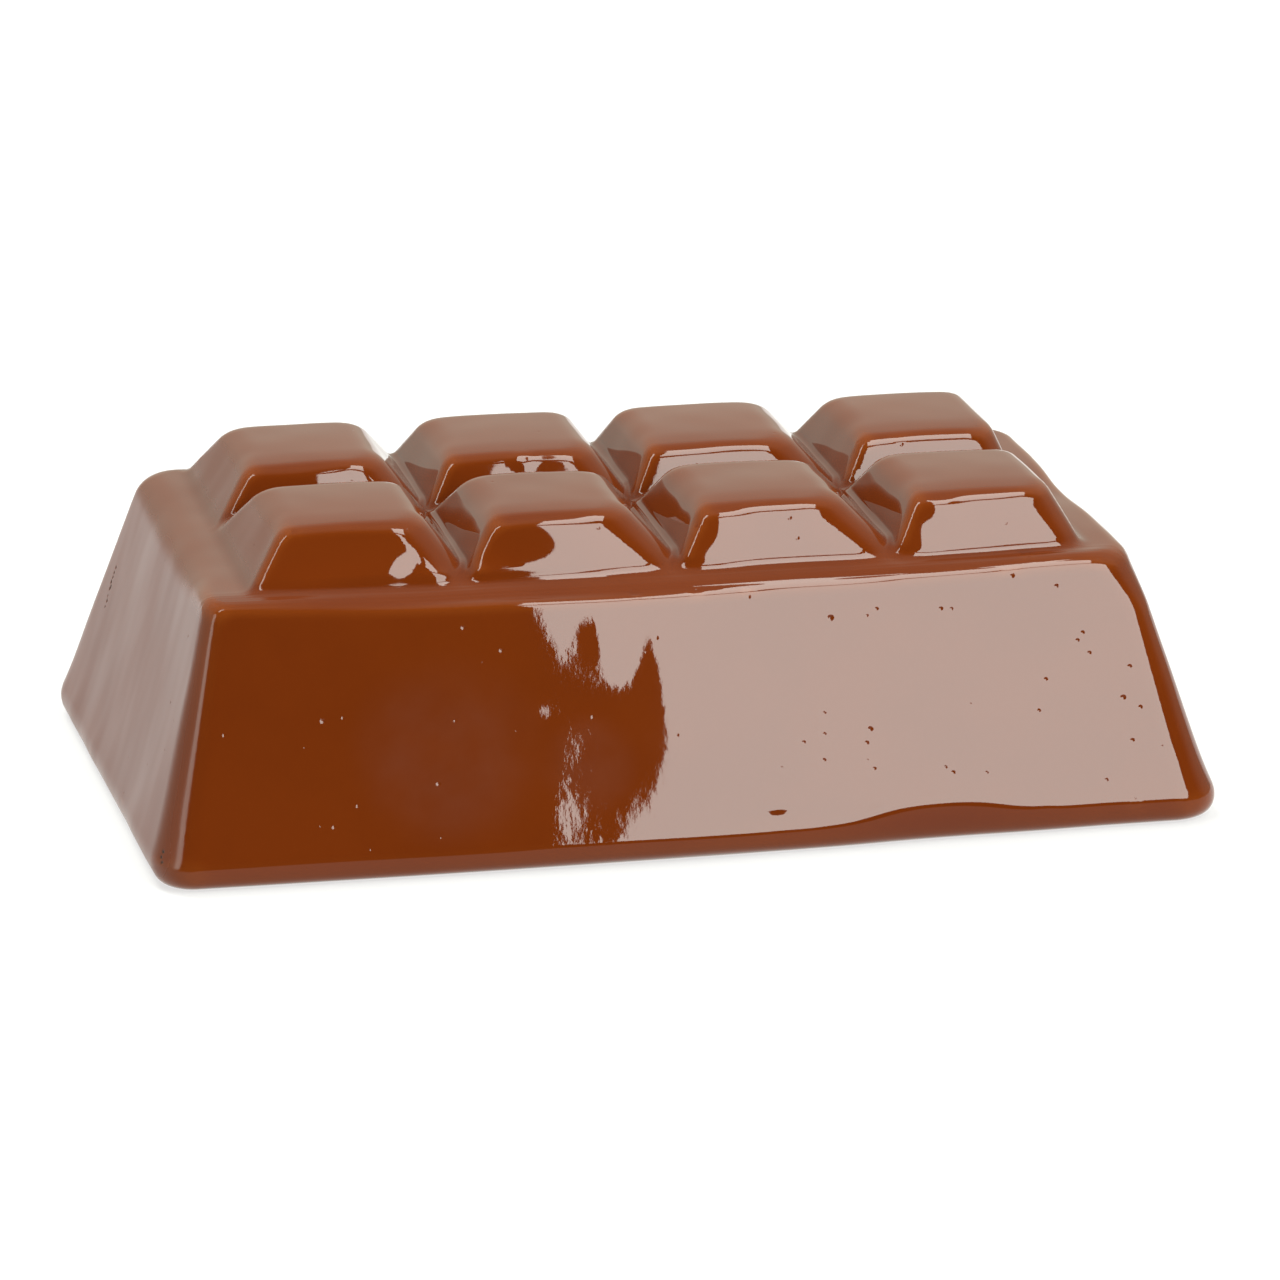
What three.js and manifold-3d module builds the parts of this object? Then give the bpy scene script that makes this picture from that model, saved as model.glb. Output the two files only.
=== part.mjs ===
// A chocolate bar cast in ceramic and glazed brown: a thick ingot with a flat ledge round
// two rows of four blocks. It is one piece, so it is one solid.
// Millimetres, +Z up. The origin is on the table under the middle of the base,
// +X runs along the bar and -Y is the front, the long side that shows.
import * as THREE from 'three';
import { mergeVertices } from 'three/addons/utils/BufferGeometryUtils.js';
import Module from 'manifold-3d';

// Body: half sizes, measured to the corners before they are rounded.
const baseHalf = new THREE.Vector2(85.2, 55.9);
const ledgeHalf = new THREE.Vector2(73.25, 41.2);
const ledgeHeight = 41.7;
const footRadius = 3.6;
const rimRadius = 3.2;
// The glaze thickens the foot, less and less up to about this height.
const footFlare = 1.35;
const flareHeight = 5;
// Corner radii seen from above: front right, back right, back left, front left.
const baseCorners = [9, 11, 16, 8];
const ledgeCorners = [8, 8, 6, 3.6];
// Share of an edge's inset by which the corner radii shrink.
const cornerShare = 0.5;

// Blocks, as uneven as their mould. Feet are measured where they meet the ledge,
// and neighbouring feet overlap, which leaves a groove with a V-shaped floor.
const blockHeight = 8.9;
const columnFeet = [[-66, -31.1], [-32.9, 2.4], [0.6, 37], [35.1, 66.6]];
const rowFeet = [[-37.2, 1.7], [-0.1, 38.6]];
const frontTops = [[-60, -37.8], [-27.1, -5.8], [5.9, 28.2], [40.1, 62.1]];
const backTops = [[-60, -38.4], [-27.7, -4], [5.2, 28.9], [40.3, 63]];
const rowTops = [[-31, -5.6], [6.1, 32.3]];
const blockFootCorners = [5.2, 3, 3, 2.2];
const blockTopCorners = [7, 3, 4, 3.2];
const blockEdgeRadius = 2.6;
const blockFillet = 1.4;
const blockRoot = 3;
// Share of the edge radius by which a leaning side moves in at the top.
const edgeShare = 0.5;

// What the casting did to the shape: the front swells, its rim sinks, and the base is skewed.
const rimSwell = 1.2;
const baseSwell = 2;
const swellStart = 36.2;
const swellMiddle = -9;
const swellReach = 74;
const rimSink = 1.4;
const baseShift = -0.6;
const baseShear = 2.4;
const baseTaper = 3.1;

const cornerSteps = 6;
const wallSteps = 3;
const roundSteps = 4;
const filletSteps = 2;
// Steps along the short and the long sides of an outline.
const bodySides = [6, 12];
const blockSides = [1, 1];

const glaze = new THREE.MeshStandardMaterial({
  color: 0x6f3213,
  roughness: 0.06,
  metalness: 0,
});

const mix = THREE.MathUtils.lerp;
const quarterTurn = Math.PI / 2;

// A closed counter-clockwise outline round a box, with a radius for each corner.
// It starts at the front right corner, and every outline has the same number of points.
function roundedOutline(box, radii, sideSteps) {
  const points = [];
  const corners = [
    [box.max.x, box.min.y, -1, 1],
    [box.max.x, box.max.y, -1, -1],
    [box.min.x, box.max.y, 1, -1],
    [box.min.x, box.min.y, 1, 1],
  ];
  corners.forEach(([x, y, inX, inY], corner) => {
    const radius = radii[corner];
    const centre = new THREE.Vector2(x + inX * radius, y + inY * radius);
    for (let step = 0; step <= cornerSteps; step += 1) {
      const angle = quarterTurn * (corner - 1 + step / cornerSteps);
      points.push(new THREE.Vector2(Math.cos(angle), Math.sin(angle)).multiplyScalar(radius).add(centre));
    }
  });
  return subdivideSides(points, sideSteps);
}

// Adds points along the four straight sides, which lie between the corner arcs.
function subdivideSides(points, sideSteps) {
  const outline = [];
  const perCorner = cornerSteps + 1;
  points.forEach((point, index) => {
    outline.push(point);
    if (index % perCorner === cornerSteps) {
      const next = points[(index + 1) % points.length];
      const steps = sideSteps[Math.floor(index / perCorner) % 2];
      for (let step = 1; step < steps; step += 1) {
        outline.push(point.clone().lerp(next, step / steps));
      }
    }
  });
  return outline;
}

// Skins a stack of outlines into a closed body, each with its own height.
function loft(sections) {
  const ringSize = sections[0].outline.length;
  const points = sections.flatMap(({ outline, z }) => outline.map(({ x, y }) => new THREE.Vector3(x, y, z)));
  const indices = [];
  for (let ring = 0; ring + 1 < sections.length; ring += 1) {
    for (let i = 0; i < ringSize; i += 1) {
      const a = ring * ringSize + i;
      const b = ring * ringSize + (i + 1) % ringSize;
      indices.push(a, b, b + ringSize, a, b + ringSize, a + ringSize);
    }
  }
  const lastRing = (sections.length - 1) * ringSize;
  const addCentre = (ring) => {
    const middle = new THREE.Vector3();
    points.slice(ring, ring + ringSize).forEach((point) => middle.add(point));
    return points.push(middle.divideScalar(ringSize)) - 1;
  };
  const bottomCentre = addCentre(0);
  const topCentre = addCentre(lastRing);
  for (let i = 0; i < ringSize; i += 1) {
    const next = (i + 1) % ringSize;
    indices.push(bottomCentre, next, i, topCentre, lastRing + i, lastRing + next);
  }
  return new THREE.BufferGeometry().setFromPoints(points).setIndex(indices);
}

const boxOf = (minX, maxX, minY, maxY) =>
  new THREE.Box2(new THREE.Vector2(minX, minY), new THREE.Vector2(maxX, maxY));

// The body's outline at a height, moved in by an inset where an edge is rounded.
function bodySection(z, inset) {
  const rise = z / ledgeHeight;
  const flare = footFlare * Math.exp(-z / flareHeight);
  const half = baseHalf.clone().lerp(ledgeHalf, rise).addScalar(flare - inset);
  const radii = baseCorners.map(
    (radius, corner) => mix(radius, ledgeCorners[corner], rise) + flare - inset * cornerShare,
  );
  return { outline: roundedOutline(new THREE.Box2(half.clone().negate(), half), radii, bodySides), z };
}

function bodyGeometry() {
  const sections = [];
  for (let step = 0; step <= roundSteps; step += 1) {
    const angle = quarterTurn * step / roundSteps;
    sections.push(bodySection(footRadius * (1 - Math.cos(angle)), footRadius * (1 - Math.sin(angle))));
  }
  const wallTop = ledgeHeight - rimRadius;
  for (let step = 1; step < wallSteps; step += 1) {
    sections.push(bodySection(mix(footRadius, wallTop, step / wallSteps), 0));
  }
  for (let step = 0; step <= roundSteps; step += 1) {
    const angle = quarterTurn * step / roundSteps;
    sections.push(bodySection(wallTop + rimRadius * Math.sin(angle), rimRadius * (1 - Math.cos(angle))));
  }
  return loft(sections);
}

// One block: a frustum with a fillet round its foot and a rounded top edge.
function blockGeometry(footBox, topBox) {
  const section = (height, inset) => {
    const rise = height / blockHeight;
    const box = new THREE.Box2(
      footBox.min.clone().lerp(topBox.min, rise),
      footBox.max.clone().lerp(topBox.max, rise),
    ).expandByScalar(-inset);
    const radii = blockFootCorners.map((radius, corner) => mix(radius, blockTopCorners[corner], rise));
    return { outline: roundedOutline(box, radii, blockSides), z: ledgeHeight + height };
  };
  const sections = [{ outline: section(0, -blockFillet).outline, z: ledgeHeight - blockRoot }];
  for (let step = 0; step <= filletSteps; step += 1) {
    const angle = quarterTurn * step / filletSteps;
    sections.push(section(blockFillet * (1 - Math.cos(angle)), blockFillet * (Math.sin(angle) - 1)));
  }
  for (let step = 0; step <= roundSteps; step += 1) {
    const angle = quarterTurn * step / roundSteps;
    const height = blockHeight - blockEdgeRadius * (1 - Math.sin(angle));
    sections.push(section(height, blockEdgeRadius * (1 - Math.cos(angle)) * edgeShare));
  }
  return loft(sections);
}

// Moves one point the way the casting sagged in the mould and in the kiln.
function settle(point) {
  const low = 1 - THREE.MathUtils.clamp(point.z / ledgeHeight, 0, 1);
  const across = point.y / baseHalf.y;
  const along = (point.x - swellMiddle) / swellReach;
  const middle = Math.max(0, 1 - along * along);
  const front = THREE.MathUtils.smoothstep(-point.y, swellStart, ledgeHalf.y);
  const taper = baseTaper * low * THREE.MathUtils.inverseLerp(-baseHalf.x, baseHalf.x, point.x);
  return new THREE.Vector3(
    point.x + (baseShift - baseShear * across) * low,
    point.y - mix(rimSwell, baseSwell, low) * middle * front - taper * Math.min(across, 0),
    point.z - rimSink * middle * front * (1 - low),
  );
}

const wasm = await Module();
wasm.setup();

function toSolid(geometry) {
  const merged = mergeVertices(geometry);
  return new wasm.Manifold(new wasm.Mesh({
    numProp: 3,
    vertProperties: merged.attributes.position.array,
    triVerts: Uint32Array.from(merged.index.array),
  }));
}

function fromSolid(solid) {
  const mesh = solid.getMesh();
  const geometry = new THREE.BufferGeometry();
  geometry.setAttribute('position', new THREE.BufferAttribute(mesh.vertProperties, mesh.numProp));
  geometry.setIndex(new THREE.BufferAttribute(mesh.triVerts, 1));
  return geometry;
}

function barGeometry() {
  let solid = toSolid(bodyGeometry());
  [frontTops, backTops].forEach((columnTops, row) => columnTops.forEach((columnTop, column) => {
    const foot = boxOf(...columnFeet[column], ...rowFeet[row]);
    const top = boxOf(...columnTop, ...rowTops[row]);
    solid = solid.add(toSolid(blockGeometry(foot, top)));
  }));
  const geometry = fromSolid(solid);
  const positions = geometry.attributes.position;
  for (let i = 0; i < positions.count; i += 1) {
    const settled = settle(new THREE.Vector3().fromBufferAttribute(positions, i));
    positions.setXYZ(i, settled.x, settled.y, settled.z);
  }
  geometry.computeVertexNormals();
  return geometry;
}

const bar = new THREE.Mesh(barGeometry(), glaze);
bar.name = 'bar';

const chocolateBar = new THREE.Group();
chocolateBar.add(bar);

export default chocolateBar;
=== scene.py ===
import math

import bmesh
import bpy
import numpy as np
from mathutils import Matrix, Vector


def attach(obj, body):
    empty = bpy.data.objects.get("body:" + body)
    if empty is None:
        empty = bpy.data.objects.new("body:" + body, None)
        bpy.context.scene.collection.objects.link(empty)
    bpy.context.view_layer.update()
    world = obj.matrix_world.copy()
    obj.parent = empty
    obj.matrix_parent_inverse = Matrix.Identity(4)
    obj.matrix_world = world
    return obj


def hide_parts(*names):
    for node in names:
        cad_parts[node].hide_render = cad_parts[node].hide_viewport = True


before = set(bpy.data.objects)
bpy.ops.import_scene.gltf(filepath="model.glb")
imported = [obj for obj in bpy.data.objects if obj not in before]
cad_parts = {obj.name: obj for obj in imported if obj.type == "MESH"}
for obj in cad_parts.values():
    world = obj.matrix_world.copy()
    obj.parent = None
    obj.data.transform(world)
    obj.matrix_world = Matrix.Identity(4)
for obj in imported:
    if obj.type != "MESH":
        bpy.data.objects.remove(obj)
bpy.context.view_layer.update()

mm = 0.001
scene = bpy.context.scene

# Metres and degrees, and millimetres for the lens and the sensor. Azimuth is counted from the
# front of the bar, negative to its left.
camera = {
    "azimuth": -11.53,
    "elevation": 16.48,
    "distance": 1001.8 * mm,
    "lens": 174.4,
    "sensor": 36,
    "target": (2.46 * mm, 0.0, 19.58 * mm),
    "clip": (0.05, 50),
}


def placeCamera():
    data = bpy.data.cameras.new("camera")
    data.lens = camera["lens"]
    data.sensor_width = camera["sensor"]
    data.clip_start, data.clip_end = camera["clip"]
    obj = bpy.data.objects.new("camera", data)
    scene.collection.objects.link(obj)
    turn, tilt = math.radians(camera["azimuth"]), math.radians(camera["elevation"])
    back = Vector((math.sin(turn) * math.cos(tilt), -math.cos(turn) * math.cos(tilt), math.sin(tilt)))
    obj.location = Vector(camera["target"]) + back * camera["distance"]
    obj.rotation_euler = back.to_track_quat("Z", "Y").to_euler()
    scene.camera = obj
    print("camera placed")


# The bar's sizes are millimetres. A box is its left, right, front and back side before
# anything is rounded, and rim and edge radii go in the same order. Corner radii go front
# right, back right, back left, front left. Turns are the angles between two faces' normals.
body = {
    "low": 0.0,
    "high": 41.7,
    "foot": (-85.4, 85.0, -55.9, 55.9),
    "top": (-73.25, 73.25, -41.2, 41.2),
    "crown": (0, 0, 0),
    "footCorners": (9, 11, 16, 7),
    "topCorners": (4, 8, 6, 3.3),
    "footRadius": 3.6,
    "flare": 1.35,  # the glaze runs down and thickens the foot
    "flareHeight": 5.0,
    "rolls": (  # thicker and thinner stretches of the front's foot: across, how wide, gain
        (33, 6, 1.7),
        (43, 6, 1.7),
        (4, 9, -0.3),
        (58, 7, 0.25),
        (-58, 12, 0.3),
    ),
    "rollsFrom": (30, 48),
    "rimRadii": (6.5, 2.4, 3.6, 3.0),
    "crispRim": 2.4,  # at the front left corner
    "crispReach": (-72, -42),
    "crispSide": (0.6, 0.9),
    "meltedCorner": 4.4,  # what the front right corner gains near the rim
    "meltedFrom": 0.78,
    "cornerTurn": 85,
    "rimTurn": 71,
}

blocks = {
    "height": 8.5,
    "crown": (0.5, 0.25, 1.6),  # the top is raised, sinks to its sides and bows down in front
    "root": 3.0,
    "columnFeet": ((-66.0, -31.1), (-32.9, 2.4), (0.6, 37.0), (35.1, 66.6)),
    "frontTops": ((-60.0, -37.8), (-27.1, -5.8), (5.9, 28.2), (40.1, 62.1)),
    "backTops": ((-60.0, -38.4), (-27.7, -4.0), (5.2, 28.9), (40.3, 63.0)),
    "rowFeet": ((-37.2, 1.7), (-0.1, 38.6)),
    "rowTops": ((-31.0, -5.6), (6.1, 32.3)),
    "footCorners": (5.2, 3.0, 3.0, 1.5),
    "topCorners": (7.0, 4.0, 4.0, 2.1),
    "edgeRadii": (5.5, 4.2, 2.9, 3.0),
    "grooveRadius": 0.9,
    "innerFillet": 1.2,
    "outerFillet": 2.2,
    "filletReach": 5.0,
    "cornerTurn": 70,
    "rimTurn": 54,
    "grooveTurn": 107,
}

# What the casting did in the mould and in the kiln.
settling = {
    "rimSwell": 0.6,
    "baseSwell": 1.3,
    "swellFrom": 36.2,
    "rimSink": 1.4,
    "middle": -9.0,
    "reach": 74.0,
    "baseShift": -0.6,
    "baseShear": 2.4,
    "baseTaper": 3.1,
}

# How the bar is meshed and pressed onto its form: millimetres, steps and shares.
meshing = {
    "cornerSteps": 8,
    "edgeSteps": 6,
    "bodyBevel": 2.4,  # before the form is pressed
    "blockBevel": 1.45,
    "touching": 0.01,
    "flat": 0.002,
    "voxel": 0.8,
    "smoothing": 8,
    "smoothFactor": 0.5,
    "pressSteps": 4,
    "pressLimit": 0.6,
    "probe": 0.02,
    "leastSlope": 0.2,
    "leastCorner": 0.5,
    "sidePower": 4,  # how sharply one side's radius gives way to the next one's
    "sideFloor": 1e-6,
    "frontPull": 1.5,
    "bowFrom": 0.5,  # share of the way from a block's middle to its front edge
}


def deselectAll():
    bpy.ops.object.select_all(action="DESELECT")


def pick(obj, kind, test):
    mesh = bmesh.from_edit_mesh(obj.data)
    bpy.ops.mesh.select_all(action="DESELECT")
    for item in getattr(mesh, kind):
        if test(item):
            item.select_set(True)
    mesh.select_flush_mode()
    bmesh.update_edit_mesh(obj.data)


def addPlate(obj, box, height, radii):
    # a flat outline at this height, with a radius of its own at each corner
    left, right, front, back = (side * mm for side in box)
    bpy.ops.mesh.primitive_plane_add(size=1, location=((left + right) / 2, (front + back) / 2, height * mm))
    bpy.ops.transform.resize(value=(right - left, back - front, 1))
    corners = ((right, front), (right, back), (left, back), (left, front))
    for corner, radius in zip(corners, radii):
        spot = Vector((*corner, height * mm))
        pick(obj, "verts", lambda v: (v.co - spot).length < meshing["touching"] * mm)
        bpy.ops.mesh.bevel(offset=radius * mm, segments=meshing["cornerSteps"], affect="VERTICES")


def addSlab(name, slab):
    # two plates bridged into a closed block with leaning sides
    deselectAll()
    bpy.ops.mesh.primitive_plane_add(size=1)
    piece = bpy.context.object
    piece.name = name
    bpy.ops.object.mode_set(mode="EDIT")
    bpy.ops.mesh.select_all(action="SELECT")
    bpy.ops.mesh.delete(type="VERT")
    bpy.ops.mesh.select_mode(type="VERT")
    addPlate(piece, slab["foot"], slab["low"], slab["footCorners"])
    addPlate(piece, slab["top"], slab["high"], slab["topCorners"])
    bpy.ops.mesh.select_mode(type="EDGE")
    pick(piece, "edges", lambda e: e.is_boundary)
    bpy.ops.mesh.bridge_edge_loops()
    bpy.ops.mesh.select_all(action="SELECT")
    bpy.ops.mesh.normals_make_consistent(inside=False)
    bpy.ops.object.mode_set(mode="OBJECT")
    return piece


def roundRim(piece, height, radius):
    bpy.ops.object.mode_set(mode="EDIT")
    bpy.ops.mesh.select_mode(type="EDGE")
    level, near = height * mm, meshing["touching"] * mm
    pick(piece, "edges", lambda e: all(abs(v.co.z - level) < near for v in e.verts))
    bpy.ops.mesh.bevel(offset=radius * mm, segments=meshing["edgeSteps"], affect="EDGES")
    bpy.ops.object.mode_set(mode="OBJECT")


def blockSlabs():
    # the blocks' sides run on below the ledge, down to their roots
    slabs = []
    for row, tops in enumerate((blocks["frontTops"], blocks["backTops"])):
        for column, columnTop in enumerate(tops):
            foot = np.array((*blocks["columnFeet"][column], *blocks["rowFeet"][row]))
            top = np.array((*columnTop, *blocks["rowTops"][row]))
            slabs.append({
                "low": body["high"] - blocks["root"],
                "high": body["high"] + blocks["height"],
                "foot": tuple(foot - (top - foot) * blocks["root"] / blocks["height"]),
                "top": tuple(top),
                "crown": blocks["crown"],
                "footCorners": blocks["footCorners"],
                "topCorners": blocks["topCorners"],
                "cornerTurn": blocks["cornerTurn"],
                "rimTurn": blocks["rimTurn"],
            })
    return slabs


def joinSlabs(slabs):
    casts = [addSlab("bodyCast", body)]
    roundRim(casts[0], body["low"], body["footRadius"])
    roundRim(casts[0], body["high"], meshing["bodyBevel"])
    for index, slab in enumerate(slabs):
        casts.append(addSlab(f"blockCast{index}", slab))
        roundRim(casts[-1], slab["high"], meshing["blockBevel"])
    deselectAll()
    for cast in casts:
        cast.select_set(True)
    bpy.context.view_layer.objects.active = casts[0]
    bpy.ops.object.join()
    print("slabs joined:", len(casts))
    return bpy.context.object


def selectOnly(obj):
    deselectAll()
    obj.select_set(True)
    bpy.context.view_layer.objects.active = obj


def applyModifier(obj, kind, **settings):
    selectOnly(obj)
    modifier = obj.modifiers.new(kind.lower(), kind)
    for key, value in settings.items():
        setattr(modifier, key, value)
    bpy.ops.object.modifier_apply(modifier=modifier.name)


def readPoints(obj):
    flat = np.empty(len(obj.data.vertices) * 3)
    obj.data.vertices.foreach_get("co", flat)
    return flat.reshape(-1, 3) / mm


def writePoints(obj, points):
    obj.data.vertices.foreach_set("co", (points * mm).ravel())
    obj.data.update()


def readNormals(obj):
    flat = np.empty(len(obj.data.vertices) * 3)
    obj.data.vertex_normals.foreach_get("vector", flat)
    return flat.reshape(-1, 3)


def smoothstep(value, low, high):
    share = np.clip((value - low) / (high - low), 0, 1)
    return share * share * (3 - 2 * share)


def mix(a, b, share):
    return a + (b - a) * share


def bell(offset, width):
    return np.exp(-(offset / width) ** 2 / 2)


def distanceTo(points, place):
    return np.linalg.norm(points - np.array(place), axis=1)


def roundedJoin(a, b, radius, turn):
    # the greater of two distances, with an arc of this radius where the two faces meet,
    # whose normals stand this many degrees apart
    cosine, sine = math.cos(math.radians(turn)), math.sin(math.radians(turn))
    p, q = a + radius, b + radius
    arc = np.sqrt(np.maximum(p * p + q * q - 2 * p * q * cosine, 0)) / sine - radius
    return np.where((p > q * cosine) & (q > p * cosine) & (p + q > 0), arc, np.maximum(a, b))


def byQuarter(values, east, north):
    # front right, back right, back left, front left
    right = np.where(north, values[1], values[0])
    left = np.where(north, values[2], values[3])
    return np.where(east, right, left)


def bySide(values, u, v):
    # left, right, front, back: a blend by where a point lies between the four sides,
    # in which the front counts for more at the corners
    nearness = (-u, u, -v * meshing["frontPull"], v)
    weights = [np.maximum(w, 0) ** meshing["sidePower"] + meshing["sideFloor"] for w in nearness]
    return sum(w * value for w, value in zip(weights, values)) / sum(weights)


def slabDistance(points, slab, edgeRadius, cornerGain=None):
    # signed distance to a slab with leaning sides, rounded corners and a rounded top edge
    x, y, z = points.T
    rise = slab["high"] - slab["low"]
    share = (z - slab["low"]) / rise
    left, right, front, back = (mix(foot, top, share) for foot, top in zip(slab["foot"], slab["top"]))
    facing = [rise / math.hypot(rise, top - foot) for foot, top in zip(slab["foot"], slab["top"])]
    u = (2 * x - left - right) / (right - left)
    v = (2 * y - front - back) / (back - front)
    across = np.maximum((left - x) * facing[0], (x - right) * facing[1])
    along = np.maximum((front - y) * facing[2], (y - back) * facing[3])
    radii = [mix(foot, top, share) for foot, top in zip(slab["footCorners"], slab["topCorners"])]
    corner = byQuarter(radii, u > 0, v > 0)
    if cornerGain:
        corner = corner + cornerGain(u, v, share)
    wall = roundedJoin(across, along, np.maximum(corner, meshing["leastCorner"]), slab["cornerTurn"])
    raised, lowered, bowed = slab["crown"]
    lid = z - slab["high"] - raised + lowered * (u * u + v * v)
    lid = lid + bowed * np.maximum(-v - meshing["bowFrom"], 0) ** 2
    return roundedJoin(wall, lid, edgeRadius(x, u, v), slab["rimTurn"])


def glazeRolls(x, y):
    rolls = sum(gain * bell(x - across, wide) for across, wide, gain in body["rolls"])
    return rolls * smoothstep(-y, *body["rollsFrom"])


def bodyDistance(points):
    def meltedCorner(u, v, share):
        gain = body["meltedCorner"] * smoothstep(share, body["meltedFrom"], 1)
        return np.where((u > 0) & (v < 0), gain, 0)

    def rimRadius(x, u, v):
        soft = np.maximum(smoothstep(x, *body["crispReach"]), 1 - smoothstep(-v, *body["crispSide"]))
        return mix(body["crispRim"], bySide(body["rimRadii"], u, v), soft)

    x, y, z = points.T
    rolls = glazeRolls(x, y)
    flare = (body["flare"] + rolls) * np.exp(-np.maximum(z, 0) / body["flareHeight"])
    shell = slabDistance(points, body, rimRadius, meltedCorner) - flare
    return roundedJoin(shell, -z, body["footRadius"] + rolls, 180 - body["rimTurn"])


def blockDistance(points, slab):
    # a block fades out below the ledge, so that it doesn't reach through the body's sides
    distance = slabDistance(points, slab, lambda x, u, v: bySide(blocks["edgeRadii"], u, v))
    return distance + np.maximum(body["high"] - points[:, 2], 0)


def formDistance(points, slabs):
    # the whole bar: blocks joined over narrow grooves, then to the body over a fillet
    field = blockDistance(points, slabs[0])
    for slab in slabs[1:]:
        distance = blockDistance(points, slab)
        field = -roundedJoin(-field, -distance, blocks["grooveRadius"], blocks["grooveTurn"])
    x, y, _ = points.T
    feet, rows = blocks["columnFeet"], blocks["rowFeet"]
    fromEnds = np.minimum(x - feet[0][0], feet[-1][1] - x)
    fromSides = np.minimum(y - rows[0][0], rows[1][1] - y)
    inside = smoothstep(np.minimum(fromEnds, fromSides), 0, blocks["filletReach"])
    fillet = mix(blocks["outerFillet"], blocks["innerFillet"], inside)
    return -roundedJoin(-field, -bodyDistance(points), fillet, blocks["rimTurn"])


def press(points, slabs):
    # moves every point straight onto the form, as a mould presses clay
    probe = meshing["probe"]
    for _ in range(meshing["pressSteps"]):
        here = formDistance(points, slabs)
        slope = np.stack([formDistance(points + step, slabs) for step in np.eye(3) * probe], axis=1)
        slope = (slope - here[:, None]) / probe
        length = np.maximum(np.linalg.norm(slope, axis=1), meshing["leastSlope"])
        shift = np.clip(here / length, -meshing["pressLimit"], meshing["pressLimit"]) / length
        points = points - slope * shift[:, None]
    return points


def settle(points):
    x, y, z = points.T
    low = 1 - np.clip(z / body["high"], 0, 1)
    across = y / body["foot"][3]
    middle = np.maximum(0, 1 - ((x - settling["middle"]) / settling["reach"]) ** 2)
    front = smoothstep(-y, settling["swellFrom"], body["top"][3])
    swell = mix(settling["rimSwell"], settling["baseSwell"], low)
    taper = settling["baseTaper"] * low * (1 + x / body["foot"][1]) / 2
    return np.stack([
        x + (settling["baseShift"] - settling["baseShear"] * across) * low,
        y - swell * middle * front - taper * np.minimum(across, 0),
        z - settling["rimSink"] * middle * front * (1 - low),
    ], axis=1)


# Low swellings (positive) and hollows of the glaze: across, up, how wide, how tall, how high.
marks = {
    "bodyFront": {
        "belly": (-1, 18.5, 16, 10, 1.12),
        "brow": (-22.5, 36.5, 16, 9, 0.53),
        "leftShoulder": (-28.5, 38, 8.5, 16, 0.49),
        "middleShoulder": (-16.5, 33, 8.5, 5.5, 0.23),
        "leftHollow": (-31, 19, 16, 4.5, -0.11),
        "leftFinger": (-12.5, 33.5, 2, 3, 0.15),
        "rightFinger": (-3, 30.5, 2.5, 5.5, 0.14),
        "drop": (-24.5, 23, 2, 1.5, 0.14),
        "cloud": (-20, 19.5, 4.5, 2, 0.13),
        "cloudTail": (-20.5, 17.5, 1.5, 3, 0.06),
        "leftPuddle": (-22.5, 8, 2.5, 3, 0.16),
        "middlePuddle": (-12, 6, 4.5, 3, 0.07),
        "rightPuddle": (0.5, 4, 4, 3, 0.13),
        "fold": (13.2, 7.6, 1.8, 1.3, 0.14),
        "foldLine": (16.5, 8, 9.5, 1, 0.1),
        "run": (37, 6.5, 7, 1.5, 0.2),
    },
    "frontRow": {
        "firstTail": (-56, 41.5, 5, 1.5, 0.4),
        "firstFoot": (-47, 42.5, 4.5, 2, 0.4),
        "firstBelly": (-43.5, 45.5, 2.5, 2.5, 0.18),
        "firstCrescent": (-37.5, 43, 1.7, 2.4, 0.13),
        "firstHorn": (-40, 47.5, 2, 2, 0.13),
        "firstBrow": (-45, 50, 4.5, 1, 0.26),
        "secondTail": (-33, 41.5, 5.5, 1.5, 0.6),
        "secondFoot": (-25.5, 42.3, 5.5, 1.8, 0.25),
        "secondBelly": (-17.5, 44, 6.5, 3.5, 0.22),
        "secondShoulder": (-18.5, 48, 8, 2.5, 0.2),
        "secondBrow": (-24, 50, 6, 1.8, 0.3),
        "secondCorner": (-4, 51.5, 4.5, 3.5, -0.5),
        "thirdFoot": (5, 43, 3, 3, 0.19),
        "thirdBelly": (8.5, 47.5, 2.5, 3, 0.2),
        "thirdBrow": (9.5, 48.5, 2.5, 2.5, 0.12),
        "thirdCorner": (30, 51.5, 4.5, 3.5, -0.5),
        "fourthFoot": (40.5, 43.5, 1.5, 2, 0.16),
        "fourthBelly": (43.5, 47, 2.5, 3.5, 0.14),
        "fourthBrow": (44, 49, 2, 2.5, 0.2),
        "fourthCorner": (64, 51.5, 4.5, 3.5, -0.5),
    },
    "backRow": {
        "firstBelly": (-52, 48, 4.5, 4.5, 0.23),
        "firstCorner": (-40, 48, 4, 2, -0.14),
        "secondBelly": (-21.5, 46.5, 2.5, 1, 0.06),
        "secondCorner": (-15, 49.5, 3.5, 2, -0.05),
        "thirdBelly": (10, 48, 5, 3.5, 0.09),
    },
}

# Single spots in space: x, y, z, how far they reach, how high they stand.
spots = {
    "rimDent": (73.5, -1.0, 41.0, 8.0, -0.8),
    "blob": (14.7, -31.4, 49.6, 1.5, 0.03),
    "leftBulge": (-79.0, 46.0, 26.0, 12.0, 0.5),
    "drip": (56.5, -54.6, 6.0, 1.1, 0.35),
    "chip": (77.6, -51.5, 11.6, 1.7, -0.1),
    "firstPool": (-31.8, -37.4, 42.8, 1.0, -0.3),  # where the grooves of the front row run out
    "secondPool": (1.6, -37.4, 42.8, 1.0, -0.3),
    "thirdPool": (36.2, -37.4, 42.8, 1.0, -0.3),
}
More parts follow.
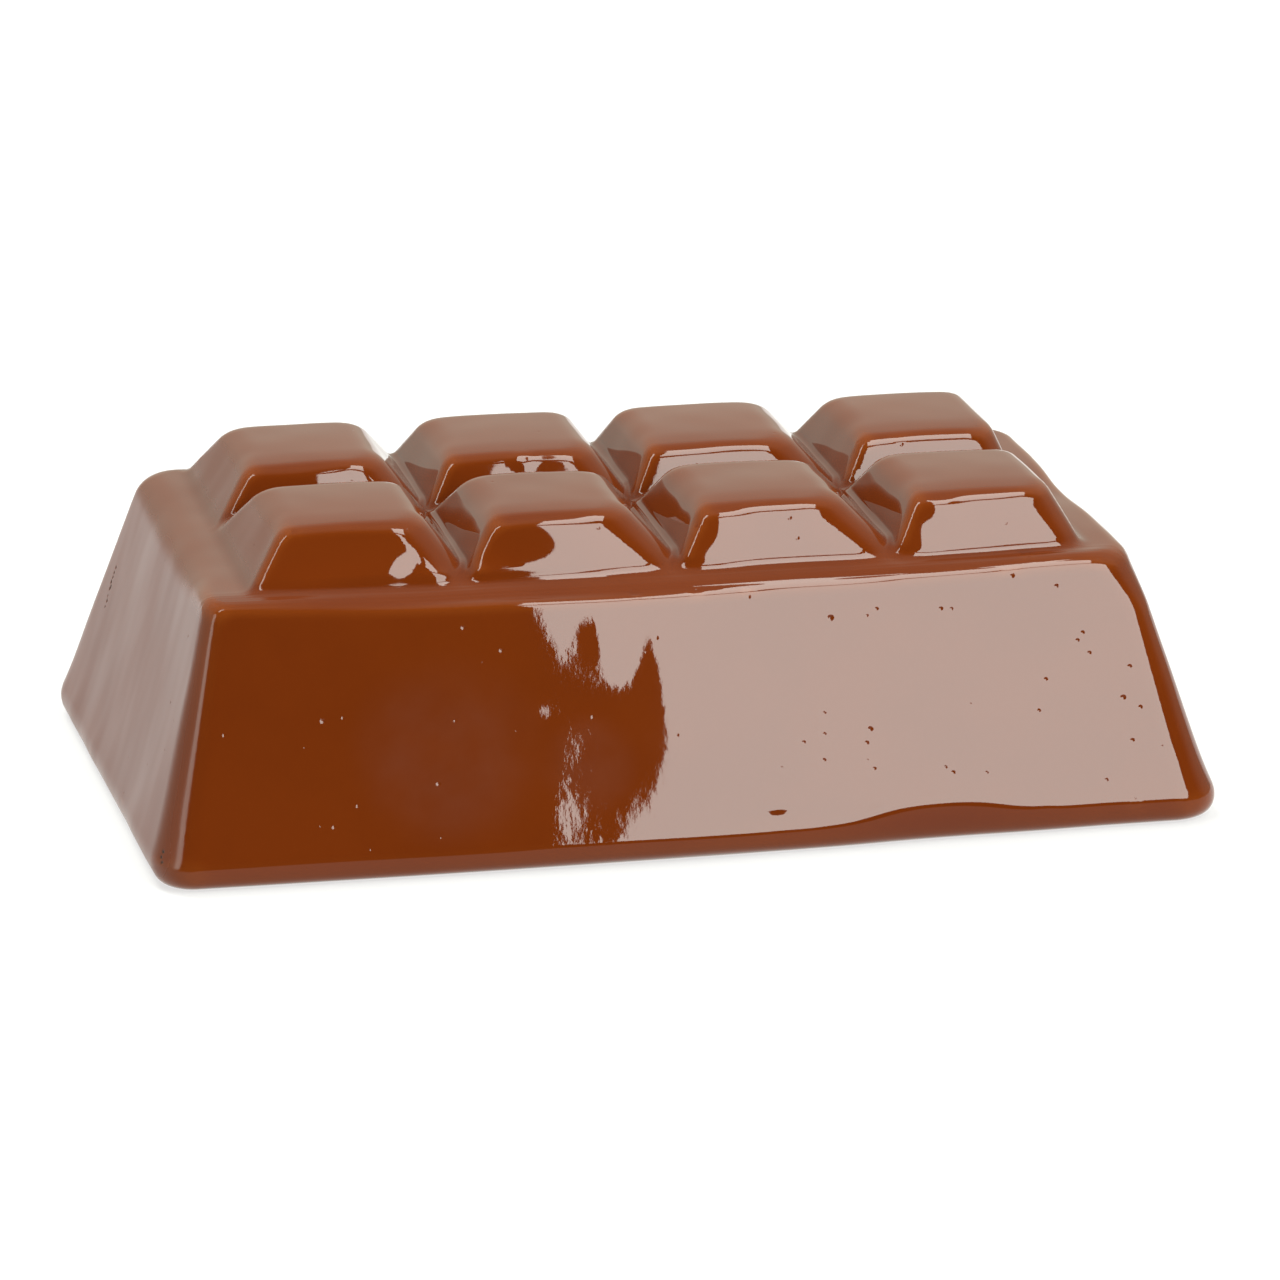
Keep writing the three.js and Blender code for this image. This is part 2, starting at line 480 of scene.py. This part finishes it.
# A raised circle at the top front edge of a back block.
ring = {"centre": (-15.6, 5.5, 49.3), "radius": 1.15, "width": 0.35, "height": 0.12}

# What counts as the front: faces that look forward, parted by lines along the bar into the
# front of the body, the front row and the back row.
frontSide = {
    "facing": (0.55, 0.85),
    "bodyLine": -38,
    "rowLine": -20,
    "belowLedge": 0.5,
    "flare": 0.21,  # the body stands out again under its rim
    "flareFrom": 33.1,
    "aboveBase": 2.5,  # below this height the relief fades, so that the base stays flat
}

# Slow waviness of all surfaces, which the front has much less of.
waviness = {
    "spacings": (21.0, 9.0),
    "heights": (0.045, 0.008),
    "spread": (0.75, 1.3),
    "count": 12,
    "seed": 5,
    "onFront": 0.02,
    "onSlopes": 0.25,
}

# Where the front is finely rippled, most of all in one cloud: across, up, wide, tall, gain.
rippling = {"middle": -18.0, "reach": 16.0, "cloud": (-20.0, 12.0, 4.5, 5.5, 4.0), "onSlopes": 0.2}

# The front of the ledge is combed along its length.
combing = {"middle": 41.0, "reach": 2.0, "from": (35, 38)}

# The left end is brushed this far from the middle, where it is steep enough.
brushing = {"from": (36, 40), "facing": (0.35, 0.75), "spread": 14}

# How sharply the surface bends, per millimetre, where glaze runs thin or pools.
bends = {"edges": (0.1, 0.5), "spread": 4}

# Pinholes are scattered by chance over three regions, and the named ones on the front go by
# across, up and radius.
pinholes = {
    "seed": 11,
    "front": {"count": 12, "facing": 0.85, "from": 42},
    "slopes": {"count": 12, "facing": 0.6, "above": 43},
    "elsewhere": {"count": 34, "facing": -0.1},
    "lowest": 4,
    "radii": (0.16, 0.3),
    "depth": 0.33,
    "cuts": 3,
    "reach": 0.4,
    "named": (
        (23.6, 34.6, 0.5), (28.8, 17.9, 0.42), (28.1, 15.9, 0.32), (53.0, 39.2, 0.4), (69.9, 20.0, 0.42),
        (71.2, 24.6, 0.32), (63.0, 29.0, 0.3), (57.5, 23.5, 0.3), (40.4, 11.6, 0.3), (21.4, 17.6, 0.26),
        (18.0, 16.6, 0.28), (21.6, 20.7, 0.26), (21.1, 13.8, 0.28), (29.0, 12.1, 0.28), (41.6, 10.8, 0.34),
        (47.0, 10.3, 0.3), (56.1, 18.9, 0.28), (63.9, 30.1, 0.3), (64.8, 27.0, 0.3), (66.4, 7.9, 0.3),
        (72.6, 18.4, 0.3), (71.0, 13.5, 0.3), (60.1, 37.3, 0.3), (41.3, 35.0, 0.3), (31.0, 35.5, 0.28),
        (-56.5, 24.0, 0.42), (-34.0, 36.2, 0.4), (-28.4, 32.6, 0.34), (-39.4, 14.0, 0.3),
        (-36.2, 22.9, 0.26),
    ),
}

# Cracks are chains of deeper pinholes, coloured dark, down the left end and at its front corner.
cracks = {
    "chains": (
        {"from": (-77.5, 33.2, 26.7), "to": (-79.2, 31.8, 21.1), "count": 9, "radius": 0.36, "jitter": 0.25},
        {"from": (-83.4, -52.0, 6.6), "to": (-83.6, -52.3, 4.8), "count": 3, "radius": 0.35, "jitter": 0.1},
    ),
    "sizes": (0.6, 1.1),
    "depth": 0.8,
    # where the cracks' dark colour fades out, as shares of a pinhole's radius
    "crackDarkening": (0.55, 1.05),
}


def waves(points, spacing, rng):
    total = 0
    for _ in range(waviness["count"]):
        way = rng.normal(size=3)
        way *= 2 * math.pi * rng.uniform(*waviness["spread"]) / (spacing * np.linalg.norm(way))
        total = total + np.sin(points @ way + rng.uniform(0, 2 * math.pi))
    return total / math.sqrt(waviness["count"] / 2)


def swellings(points, facing):
    # how far the glaze stands out from the plain cast at each point
    x, y, z = points.T
    onFront = smoothstep(-facing[:, 1], *frontSide["facing"])
    onSlopes = onFront * (z > body["high"])
    masks = {
        "bodyFront": onFront * (y < frontSide["bodyLine"]),
        "frontRow": onSlopes * (y < frontSide["rowLine"]),
        "backRow": onSlopes * (y > frontSide["rowLine"]),
    }
    onBody = masks["bodyFront"] * (z < body["high"] - frontSide["belowLedge"])
    total = np.zeros(len(points))
    rng = np.random.default_rng(waviness["seed"])
    for spacing, height in zip(waviness["spacings"], waviness["heights"]):
        total += height * waves(points, spacing, rng)
    total *= mix(1, waviness["onFront"], onBody) * mix(1, waviness["onSlopes"], onSlopes)
    climb = np.maximum(z - frontSide["flareFrom"], 0) / (body["high"] - frontSide["flareFrom"])
    total += onBody * frontSide["flare"] * climb ** 2
    for region, mask in masks.items():
        for across, up, wide, tall, height in marks[region].values():
            total += mask * height * bell(x - across, wide) * bell(z - up, tall)
    for *place, reach, height in spots.values():
        total += height * bell(distanceTo(points, place), reach)
    total += ring["height"] * bell(distanceTo(points, ring["centre"]) - ring["radius"], ring["width"])
    return total * smoothstep(z, 0, frontSide["aboveBase"])


def ontoSurface(place, points, facing):
    nearest = np.argmin(distanceTo(points, place))
    return place - facing[nearest] * np.dot(place - points[nearest], facing[nearest])


def choosePinholes(points, facing):
    # each pinhole's place and radius, and whether it is part of a crack
    rng = np.random.default_rng(pinholes["seed"])
    front, slopes, elsewhere = pinholes["front"], pinholes["slopes"], pinholes["elsewhere"]
    x, y, z = points.T
    high = z > pinholes["lowest"]
    onFront = (facing[:, 1] < -front["facing"]) & (y < -front["from"]) & high
    onSlopes = (facing[:, 1] < -slopes["facing"]) & (z > slopes["above"])
    others = ~onFront & ~onSlopes & high & (facing[:, 2] > elsewhere["facing"])
    places, radii = [], []
    for mask, region in ((onFront, front), (onSlopes, slopes), (others, elsewhere)):
        places.extend(points[rng.choice(np.flatnonzero(mask), region["count"], replace=False)])
        radii.extend(rng.uniform(*pinholes["radii"], region["count"]))
    for across, up, radius in pinholes["named"]:
        nearest = np.argmin(np.where(onFront, (x - across) ** 2 + (z - up) ** 2, np.inf))
        places.append(np.array((across, y[nearest], up)))
        radii.append(radius)
    single = len(places)
    for chain in cracks["chains"]:
        start, end = np.array(chain["from"]), np.array(chain["to"])
        for step in np.linspace(0, 1, chain["count"]):
            place = mix(start, end, step) + rng.normal(size=3) * chain["jitter"]
            places.append(ontoSurface(place, points, facing))
            radii.append(chain["radius"] * rng.uniform(*cracks["sizes"]))
    return np.array(places), np.array(radii), np.arange(len(places)) >= single


def nearPinhole(points, places, radii):
    # the share of the way out of the nearest pinhole, at most 1 inside it
    share = np.full(len(points), np.inf)
    for place, radius in zip(places, radii):
        share = np.minimum(share, distanceTo(points, place) / radius)
    return share


def cutPinholes(piece, places, radii):
    # finer faces where the pinholes will be
    near = nearPinhole(settle(readPoints(piece)), places, radii + pinholes["reach"]) < 1
    selectOnly(piece)
    bpy.ops.object.mode_set(mode="EDIT")
    bpy.ops.mesh.select_mode(type="FACE")
    pick(piece, "faces", lambda f: any(near[v.index] for v in f.verts))
    bpy.ops.mesh.subdivide(number_cuts=pinholes["cuts"], quadcorner="INNERVERT")
    bpy.ops.object.mode_set(mode="OBJECT")


def sinkPinholes(piece, places, radii, cracked):
    points, facing = readPoints(piece), readNormals(piece)
    places = np.array([ontoSurface(place, points, facing) for place in places])
    inCrack = nearPinhole(points, places[cracked], radii[cracked])
    # the colour is painted dark in and around the cracks' pinholes
    paintAttribute(piece, "crackDarkening", 1 - smoothstep(inCrack, *cracks["crackDarkening"]))
    depths = np.where(cracked, cracks["depth"], pinholes["depth"]) * radii
    for place, radius, deepest in zip(places, radii, depths):
        away = distanceTo(points, place) / radius
        inside = away < 1
        depth = deepest * (1 - away[inside] ** 2) ** 2
        points[inside] -= facing[inside] * depth[:, None]
    writePoints(piece, points)


def dissolveBase(piece):
    bpy.ops.object.mode_set(mode="EDIT")
    bpy.ops.mesh.select_mode(type="FACE")
    pick(piece, "faces", lambda f: all(abs(v.co.z) < meshing["flat"] * mm for v in f.verts))
    bpy.ops.mesh.dissolve_faces()
    bpy.ops.object.mode_set(mode="OBJECT")


def paintAttribute(piece, name, values):
    attribute = piece.data.attributes.new(name, "FLOAT", "POINT")
    attribute.data.foreach_set("value", np.ascontiguousarray(values, dtype=np.float32))


def edgeEnds(piece):
    ends = np.empty(len(piece.data.edges) * 2, dtype=np.int64)
    piece.data.edges.foreach_get("vertices", ends)
    return ends.reshape(-1, 2).T


def spreadOut(piece, values, passes):
    # evens values out between neighbouring points
    a, b = edgeEnds(piece)
    total = len(values)
    share = 1 + np.bincount(a, minlength=total) + np.bincount(b, minlength=total)
    for _ in range(passes):
        values = (values + np.bincount(a, values[b], total) + np.bincount(b, values[a], total)) / share
    return values


def paintBends(piece):
    # thin glaze over edges and pooled glaze in hollows: four times the mean fall of a point's
    # edges, by their squared length, is the sum of the surface's two curvatures there
    points, facing = readPoints(piece), readNormals(piece)
    a, b = edgeEnds(piece)
    step = points[b] - points[a]
    length = (step * step).sum(axis=1)
    total = len(points)
    bend = np.bincount(b, (step * facing[b]).sum(axis=1) / length, total)
    bend -= np.bincount(a, (step * facing[a]).sum(axis=1) / length, total)
    count = np.bincount(a, minlength=total) + np.bincount(b, minlength=total)
    bend = spreadOut(piece, 4 * bend / count, bends["spread"])
    paintAttribute(piece, "thinGlaze", smoothstep(bend, *bends["edges"]))
    paintAttribute(piece, "pooledGlaze", smoothstep(-bend, *bends["edges"]))


def paintBrushing(piece):
    (x, y, z), facing = readPoints(piece).T, readNormals(piece)
    steep = smoothstep(-facing[:, 0], *brushing["facing"]) * smoothstep(-x, *brushing["from"])
    paintAttribute(piece, "brushed", spreadOut(piece, steep, brushing["spread"]))
    onLedge = np.exp(-((z - combing["middle"]) / combing["reach"]) ** 2)
    paintAttribute(piece, "combed", onLedge * smoothstep(-y, *combing["from"]))


def paintRipples(piece):
    (x, y, z), facing = readPoints(piece).T, readNormals(piece)
    across, up, wide, tall, gain = rippling["cloud"]
    cloud = bell(x - across, wide) * bell(z - up, tall)
    strength = bell(x - rippling["middle"], rippling["reach"]) * (1 + gain * cloud)
    strength *= (y < frontSide["rowLine"]) * mix(1, rippling["onSlopes"], z > body["high"])
    paintAttribute(piece, "rippled", strength * smoothstep(-facing[:, 1], *frontSide["facing"]))


def makeBar():
    slabs = blockSlabs()
    piece = joinSlabs(slabs)
    piece.name = piece.data.name = "glazedBar"
    applyModifier(piece, "REMESH", mode="VOXEL", voxel_size=meshing["voxel"] * mm, adaptivity=0)
    applyModifier(piece, "SMOOTH", factor=meshing["smoothFactor"], iterations=meshing["smoothing"])
    writePoints(piece, press(readPoints(piece), slabs))
    places, radii, cracked = choosePinholes(settle(readPoints(piece)), readNormals(piece))
    cutPinholes(piece, places, radii)
    writePoints(piece, press(readPoints(piece), slabs))
    dissolveBase(piece)
    writePoints(piece, settle(readPoints(piece)))
    bpy.ops.object.shade_smooth()
    print("bar pressed and settled")
    paintBrushing(piece)
    points, facing = readPoints(piece), readNormals(piece)
    writePoints(piece, points + facing * swellings(points, facing)[:, None])
    paintBends(piece)
    paintRipples(piece)
    sinkPinholes(piece, places, radii, cracked)
    print("bar glazed:", len(piece.data.polygons), "faces,", len(piece.data.vertices), "points")
    return piece


class Term:
    # a node's output that takes part in plain arithmetic
    def __init__(self, tree, socket):
        self.tree = tree
        self.socket = socket

    def join(self, operation, first, second):
        return addNode(self.tree, "Math", {"operation": operation}, {0: first, 1: second})

    def __add__(self, other):
        return self.join("ADD", self, other)

    def __radd__(self, other):
        return self.join("ADD", other, self)

    def __sub__(self, other):
        return self.join("SUBTRACT", self, other)

    def __rsub__(self, other):
        return self.join("SUBTRACT", other, self)

    def __mul__(self, other):
        return self.join("MULTIPLY", self, other)

    def __rmul__(self, other):
        return self.join("MULTIPLY", other, self)

    def __truediv__(self, other):
        return self.join("DIVIDE", self, other)


def addNode(tree, kind, settings, inputs, output=0):
    # settings come first, because they can change which sockets a node has
    node = tree.nodes.new("ShaderNode" + kind)
    for key, value in settings.items():
        setattr(node, key, value)
    feed(tree, node, inputs)
    return Term(tree, node.outputs[output])


def feed(tree, node, inputs):
    for key, value in inputs.items():
        if isinstance(value, Term):
            tree.links.new(value.socket, node.inputs[key])
        else:
            node.inputs[key].default_value = value


def ramp(value, low, high, start=0.0, end=1.0):
    return addNode(value.tree, "MapRange", {"interpolation_type": "SMOOTHSTEP"}, {
        "Value": value, "From Min": low, "From Max": high, "To Min": start, "To Max": end})


def blend(share, first, second):
    # a Mix node's colour sockets come after those of its other types
    return addNode(share.tree, "Mix", {"data_type": "RGBA"}, {0: share, 6: first, 7: second}, 2)


def noise(place, spacing, stretch=(1, 1, 1), detail=2.0):
    size = tuple(1 / (spacing * mm * s) for s in stretch)
    mapped = addNode(place.tree, "VectorMath", {"operation": "MULTIPLY"}, {0: place, 1: size})
    return addNode(place.tree, "TexNoise", {}, {"Vector": mapped, "Scale": 1.0, "Detail": detail})


def painted(place, name):
    return addNode(place.tree, "Attribute", {"attribute_name": name}, {}, "Fac")


# The glaze's spacings, lengths, heights and depths are millimetres, and the size of a dust pit
# is a share of the dust's spacing.
glaze = {
    "colour": (0.117, 0.0192, 0.0016, 1),
    "tints": {
        "thinGlaze": (0.15, 0.03, 0.0035, 1),
        "pooledGlaze": (0.09, 0.0135, 0.0012, 1),
        # the dark colour painted in the cracks
        "crackDarkening": (0.02, 0.008, 0.003, 1),
    },
    "mottle": {"colour": (0.104, 0.0165, 0.0014, 1), "share": 0.5, "spacing": 17.0, "detail": 4.0,
               "edges": (0.35, 0.65)},
    "roughness": 0.028,
    "ior": 1.5,
    "brush": {"roughness": (0.28, 0.35), "spacing": 8.0, "length": 60.0, "detail": 1.5,
              "edges": (0.25, 0.75)},
    "peel": {"spacing": 3.4, "height": 0.00045},
    "striae": {"spacing": 0.55, "length": 7.0, "height": 0.00025},
    "dust": {"spacing": 5.0, "size": 0.035, "depth": 0.03},
    "ripple": {"spacing": 2.2, "stretch": 1.6, "detail": 5.0, "height": 0.014},
    "comb": {"spacing": 1.1, "length": 70.0, "detail": 1.0, "height": 0.11},
    "whorls": {
        "places": (  # across, up, how far they reach, how hazy
            (-37.4, 18.9, 17.0, 1.0),
            (-16.0, 15.0, 9.0, 0.8),
            (3.4, 21.0, 15.0, 0.1),
        ),
        "front": -50.0,
        "core": 0.35,
        "step": 0.9,
        "wobble": 5.0,
        "wobbleSpacing": 9.0,
        "height": 0.00012,
    },
    "haze": {"weight": 0.22, "roughness": 0.3, "spacing": 5.0, "detail": 3.0},
}


def glazeColour(place):
    # mottled, warmer where it runs thin, deeper where it pools and dark in the cracks
    mottle = glaze["mottle"]
    patches = ramp(noise(place, mottle["spacing"], detail=mottle["detail"]), *mottle["edges"])
    colour = blend(patches * mottle["share"], glaze["colour"], mottle["colour"])
    for name, tint in glaze["tints"].items():
        colour = blend(painted(place, name), colour, tint)
    return colour


def glazeRoughness(place):
    # smooth all over but on the left end, which shows upright brush strokes
    brush, smooth = glaze["brush"], glaze["roughness"]
    upright = (1, 1, brush["length"] / brush["spacing"])
    streaks = ramp(noise(place, brush["spacing"], upright, brush["detail"]), *brush["edges"])
    low, high = brush["roughness"]
    return smooth + painted(place, "brushed") * (low + streaks * (high - low) - smooth)


def glazeRelief(place):
    # orange peel, fine upright striae, pits left by dust, ripples, and combing along the ledge
    peel, striae, dust, ripple, comb = (glaze[key] for key in ("peel", "striae", "dust", "ripple", "comb"))
    height = noise(place, peel["spacing"]) * peel["height"]
    upright = (1, 1, striae["length"] / striae["spacing"])
    height = height + noise(place, striae["spacing"], upright) * striae["height"]
    pits = addNode(place.tree, "TexVoronoi", {}, {"Vector": place, "Scale": 1 / (dust["spacing"] * mm)})
    height = height + ramp(pits, 0, dust["size"], -dust["depth"], 0)
    ripples = noise(place, ripple["spacing"], (1, 1, ripple["stretch"]), ripple["detail"])
    height = height + ripples * painted(place, "rippled") * ripple["height"]
    lengthwise = (comb["length"] / comb["spacing"], 1, 1)
    lines = noise(place, comb["spacing"], lengthwise, comb["detail"])
    return height + lines * painted(place, "combed") * comb["height"]


def addWhorls(place, height):
    # rings that a wiping hand left on the front, each under a thin haze
    whorls, haze, veil = glaze["whorls"], glaze["haze"], 0.0
    for across, up, reach, share in whorls["places"]:
        centre = (across * mm, whorls["front"] * mm, up * mm)
        away = addNode(place.tree, "VectorMath", {"operation": "DISTANCE"},
                       {0: place, 1: centre}, "Value") / mm
        wobbly = away + noise(place, whorls["wobbleSpacing"]) * whorls["wobble"]
        turns = wobbly * (2 * math.pi / whorls["step"])
        rings = addNode(place.tree, "Math", {"operation": "SINE"}, {0: turns})
        fading = ramp(away, reach * whorls["core"], reach, 1.0, 0.0)
        height = height + rings * fading * whorls["height"]
        veil = fading * noise(place, haze["spacing"], detail=haze["detail"]) * share + veil
    return height, veil


def glazeMaterial():
    material = bpy.data.materials.new("brownGlaze")
    material.use_nodes = True
    tree = material.node_tree
    place = addNode(tree, "TexCoord", {}, {}, "Object")
    height, veil = addWhorls(place, glazeRelief(place))
    feed(tree, tree.nodes["Principled BSDF"], {
        "Base Color": glazeColour(place),
        "Roughness": glazeRoughness(place),
        "IOR": glaze["ior"],
        "Coat Weight": veil * glaze["haze"]["weight"],
        "Coat Roughness": glaze["haze"]["roughness"],
        "Normal": addNode(tree, "Bump", {}, {"Height": height, "Distance": mm, "Strength": 1.0}),
    })
    print("glaze mixed")
    return material


# Panels: metres and degrees. The glow is radiance, so a panel's watts follow from its size.
# A panel without a turn faces the bar.
panels = {
    "keyPanel": {"centre": (1.165, -1.5, 1.165), "turn": (58.2, 0, 0), "size": (1.6, 1.895), "glow": 7.4},
    "topPanel": {"centre": (0.56, -0.32, 2.0), "turn": (0, 0, 0), "size": (0.42, 0.98), "glow": 7.4},
    "sideStrip": {"centre": (-1.75, -1.01, 1.1), "turn": (90, 0, -60), "size": (0.55, 1.8), "glow": 2.7},
    "crownStrip": {"centre": (-0.5, -0.38, 2.0), "turn": (0, 0, -52), "size": (0.25, 1.0), "glow": 7.0},
    "backFill": {"centre": (-0.5, 0.9, 1.7), "size": (1.0, 1.0), "glow": 12.5, "mirrored": False},
}
panelColour = (1.02, 1.05, 0.98)

floorSettings = {
    "size": 16,  # metres
    "drop": 0.2,  # millimetres
    "shader": {
        "Base Color": (0.27, 0.27, 0.27, 1),
        "Roughness": 0.9,
        "Specular IOR Level": 0,
        "Emission Color": (1, 1, 1, 1),
        "Emission Strength": 0.67,
    },
}

# The backdrop's glow by direction: from and to along one axis, and the values there. Below
# the horizon the glaze mirrors a table that is darker in front of the bar than behind it.
backdrop = {
    "colour": (1.0, 1.03, 0.87, 1),
    "tableColour": (1.0, 1.0, 0.95, 1),
    "roomGlow": 0.04,
    "leftReach": (-1.0, -0.5, 0.55, 0.0),  # on the left it comes further forward
    "behind": (-0.35, 0.15, 0.0, 0.63),
    "right": (0.5, 0.95, 1.0, 0.5),
    "horizon": (0.0, 0.1, 0.85, 1.0),
    "overhead": (0.5, 0.9, 1.0, 0.6),
    "below": (-0.03, 0.0, 1.0, 0.0),
    "table": (-0.5, 0.6, 0.6, 1.14),
}


def addPanel(name, panel):
    width, height = panel["size"]
    light = bpy.data.lights.new(name, "AREA")
    light.shape = "RECTANGLE"
    light.size = width
    light.size_y = height
    light.energy = panel["glow"] * width * height * math.pi
    light.color = panelColour
    obj = bpy.data.objects.new(name, light)
    scene.collection.objects.link(obj)
    obj.location = panel["centre"]
    if "turn" in panel:
        obj.rotation_euler = [math.radians(angle) for angle in panel["turn"]]
    else:
        obj.rotation_euler = Vector(panel["centre"]).to_track_quat("Z", "Y").to_euler()
    obj.visible_camera = False
    obj.visible_glossy = panel.get("mirrored", True)


def layFloor():
    deselectAll()
    drop = floorSettings["drop"] * mm
    bpy.ops.mesh.primitive_plane_add(size=floorSettings["size"], location=(0, 0, -drop))
    floor = bpy.context.object
    floor.name = "floor"
    material = bpy.data.materials.new("paleFloor")
    material.use_nodes = True
    tree = material.node_tree
    feed(tree, tree.nodes["Principled BSDF"], floorSettings["shader"])
    floor.data.materials.append(material)
    floor.visible_glossy = False


def hangBackdrop():
    world = bpy.data.worlds.new("studio")
    scene.world = world
    world.use_nodes = True
    tree = world.node_tree
    way = addNode(tree, "TexCoord", {}, {}, "Generated")
    across, along, up = (addNode(tree, "SeparateXYZ", {}, {0: way}, axis) for axis in "XYZ")
    behind = ramp(along + ramp(across, *backdrop["leftReach"]), *backdrop["behind"])
    toRight = ramp(across, *backdrop["right"])
    horizon = ramp(up, *backdrop["horizon"])
    overhead = ramp(up, *backdrop["overhead"])
    strength = behind * toRight * horizon * overhead + backdrop["roomGlow"]
    below = ramp(up, *backdrop["below"])
    strength = strength + below * (ramp(along, *backdrop["table"]) - strength)
    colour = blend(below, backdrop["colour"], backdrop["tableColour"])
    feed(tree, tree.nodes["Background"], {"Color": colour, "Strength": strength})


def makeStudio():
    layFloor()
    for name, panel in panels.items():
        addPanel(name, panel)
    hangBackdrop()
    scene.view_settings.view_transform = "Standard"
    print("studio lit:", len(panels), "panels")


placeCamera()
piece = makeBar()
piece.data.materials.clear()
piece.data.materials.append(glazeMaterial())
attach(piece, "root")
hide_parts("bar")
makeStudio()
